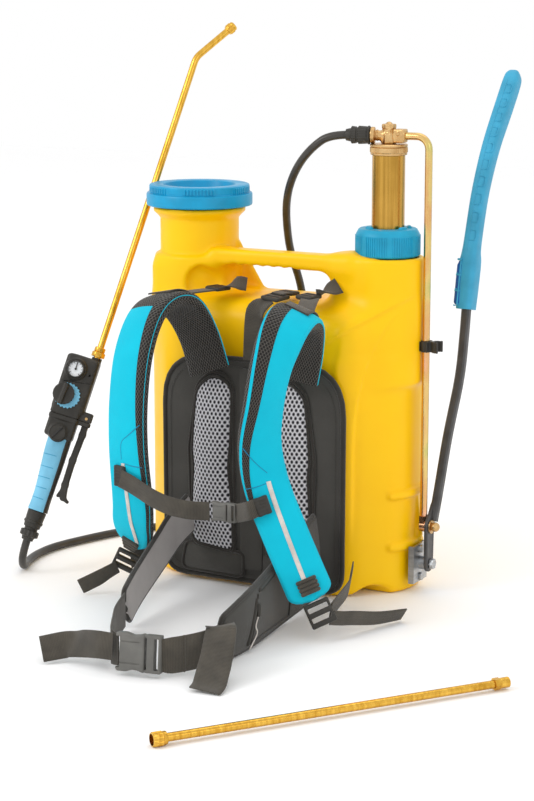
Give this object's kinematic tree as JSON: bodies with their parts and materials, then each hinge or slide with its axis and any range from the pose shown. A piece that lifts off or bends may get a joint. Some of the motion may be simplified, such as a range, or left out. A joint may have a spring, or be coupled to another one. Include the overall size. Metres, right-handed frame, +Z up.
{
  "type": "backpack sprayer",
  "caption": "Knapsack sprayer with a two-column tank, side lever and brass pump, padded carrying harness, hose, pressure handset, bent lance and loose extension tube.",
  "frame": {"origin": "middle of the tank underside, on the floor", "axes": "+Z up, +X to the pump and lever, -X to the filler, -Y to the harness side"},
  "size_m": [0.8267, 0.9311, 0.7615],
  "materials": {
    "tank_yellow": "blow-moulded, slightly satin",
    "blue_plastic": "moulded, satin",
    "light_blue_grip": "soft-touch moulding",
    "brass": "bright drawn tube",
    "zinc_steel": "zinc plated",
    "black_steel": "black powder coat",
    "black_plastic": "moulded",
    "grey_plastic": "moulded buckle",
    "white_plastic": "moulded strainer",
    "hose_rubber": "smooth hose",
    "seal_rubber": "moulded seal",
    "blue_fabric": "woven polyester",
    "black_fabric": "woven polyester",
    "mesh_fabric": "spacer mesh",
    "black_webbing": "woven webbing"
  },
  "bodies": {
    "frame": {"tank": "tank_yellow", "filter_basket": "white_plastic", "pump_barrel": "black_plastic", "foot_valve": "black_plastic", "lever_bracket": "zinc_steel", "lever_pivot_bolt": "zinc_steel", "bracket_screws": "zinc_steel", "back_panel": "black_fabric", "left_back_pad": "mesh_fabric", "right_back_pad": "mesh_fabric", "left_shoulder_strap": "blue_fabric", "right_shoulder_strap": "blue_fabric", "ladder_locks": "black_plastic", "right_lower_webbing": "black_webbing", "left_lower_webbing": "black_webbing", "chest_webbing": "black_webbing", "chest_clips": "black_plastic", "chest_buckle": "black_plastic", "left_hip_wing": "black_fabric", "right_hip_wing": "black_fabric", "left_belt_webbing": "black_webbing", "right_belt_webbing": "black_webbing", "waist_buckle": "grey_plastic", "top_webbing": "black_webbing", "top_buckles": "black_plastic", "hose_upper": "hose_rubber", "hose_lower": "hose_rubber", "handset_body": "black_plastic", "handset_grip": "light_blue_grip", "handset_hose_nut": "black_plastic", "gauge_case": "black_plastic", "trigger_pin": "brass", "valve_spring": "zinc_steel", "lance_nut": "brass"},
    "cap": {"filler_cap": "blue_plastic", "cap_seal": "seal_rubber", "vent_valve": "blue_plastic"},
    "column_nut": {"pump_nut": "blue_plastic"},
    "pump": {"pressure_cylinder": "brass", "piston_seal": "seal_rubber", "cylinder_cap": "brass", "pump_head": "brass", "hose_union_nut": "black_plastic", "rod_eye": "brass"},
    "rod": {"pull_rod": "brass", "rod_clip": "black_plastic"},
    "lever": {"pump_lever": "black_steel", "crank_pin": "brass", "lever_grip": "light_blue_grip"},
    "needle": {"gauge_needle": "black_plastic"},
    "regulator": {"regulator_knob": "black_plastic"},
    "strainer_knob": {"filter_knob": "black_plastic"},
    "trigger_lever": {"trigger": "black_plastic"},
    "valve": {"valve_stem": "brass"},
    "spray_lance": {"lance": "brass"},
    "spray_nozzle": {"nozzle": "brass"},
    "extension": {"extension_tube": "brass"},
    "extension_union": {"extension_nut": "brass"}
  },
  "joints": [
    {"name": "cap_turn", "type": "hinge", "parent": "frame", "child": "cap", "pos_m": [-0.145, 0, 0.52], "axis": [0, 0, 1], "continuous": true},
    {"name": "column_nut_turn", "type": "hinge", "parent": "frame", "child": "column_nut", "pos_m": [0.145, 0, 0.48], "axis": [0, 0, 1], "continuous": true},
    {"name": "lever_swing", "type": "hinge", "parent": "frame", "child": "lever", "pos_m": [0.2117, 0, 0.04], "axis": [1, 0, 0], "range_deg": [0, 100]},
    {"name": "pump_stroke", "type": "slide", "parent": "frame", "child": "pump", "axis": [0, 0, 1], "range_m": [-0.0637, 0], "deforming": ["hose_upper"]},
    {"name": "rod_swing", "type": "hinge", "parent": "pump", "child": "rod", "pos_m": [0.161, 0, 0.619], "axis": [1, 0, 0], "range_deg": [-5.63, 0]},
    {"name": "gauge_turn", "type": "hinge", "parent": "frame", "child": "needle", "pos_m": [-0.27727, -0.12045, 0.28696], "axis": [0.4702, -0.846, 0.2515], "range_deg": [-250, 0]},
    {"name": "regulator_turn", "type": "hinge", "parent": "frame", "child": "regulator", "pos_m": [-0.28764, -0.13615, 0.25355], "axis": [0.4702, -0.846, 0.2515], "range_deg": [-270, 0]},
    {"name": "strainer_knob_turn", "type": "hinge", "parent": "frame", "child": "strainer_knob", "pos_m": [-0.2887, -0.15227, 0.20133], "axis": [0.4702, -0.846, 0.2515], "range_deg": [-90, 90]},
    {"name": "trigger_squeeze", "type": "hinge", "parent": "frame", "child": "trigger_lever", "pos_m": [-0.26562, -0.11196, 0.21423], "axis": [-0.4702, 0.846, -0.2515], "range_deg": [0, 6], "stiffness_Nm_per_rad": 1.5, "springref_deg": -11.46},
    {"name": "valve_lift", "type": "slide", "parent": "frame", "child": "valve", "axis": [0.1563, 0.3603, 0.9196], "range_m": [0, 0.0026], "deforming": ["valve_spring"]},
    {"name": "lance_turn", "type": "hinge", "parent": "frame", "child": "spray_lance", "pos_m": [-0.263, -0.085, 0.3], "axis": [0.1563, 0.3603, 0.9196], "continuous": true},
    {"name": "nozzle_turn", "type": "hinge", "parent": "spray_lance", "child": "spray_nozzle", "pos_m": [-0.15063, 0.11336, 0.75709], "axis": [0.5877, 0.5127, 0.6259], "range_deg": [-180, 180]},
    {"name": "extension_lift", "type": "slide", "parent": "frame", "child": "extension", "axis": [0, 0, 1], "range_m": [0, 0.15]},
    {"name": "extension_union_turn", "type": "hinge", "parent": "extension", "child": "extension_union", "pos_m": [0.186, -0.691, 0.0082], "axis": [0.5975, 0.8018, 0], "continuous": true}
  ],
  "couplings": [
    {"joint": "pump_stroke", "follows": "lever_swing", "m_per_rad": -0.036383},
    {"joint": "rod_swing", "follows": "lever_swing", "ratio": -0.055764},
    {"joint": "valve_lift", "follows": "trigger_squeeze", "m_per_rad": 0.023873}
  ]
}
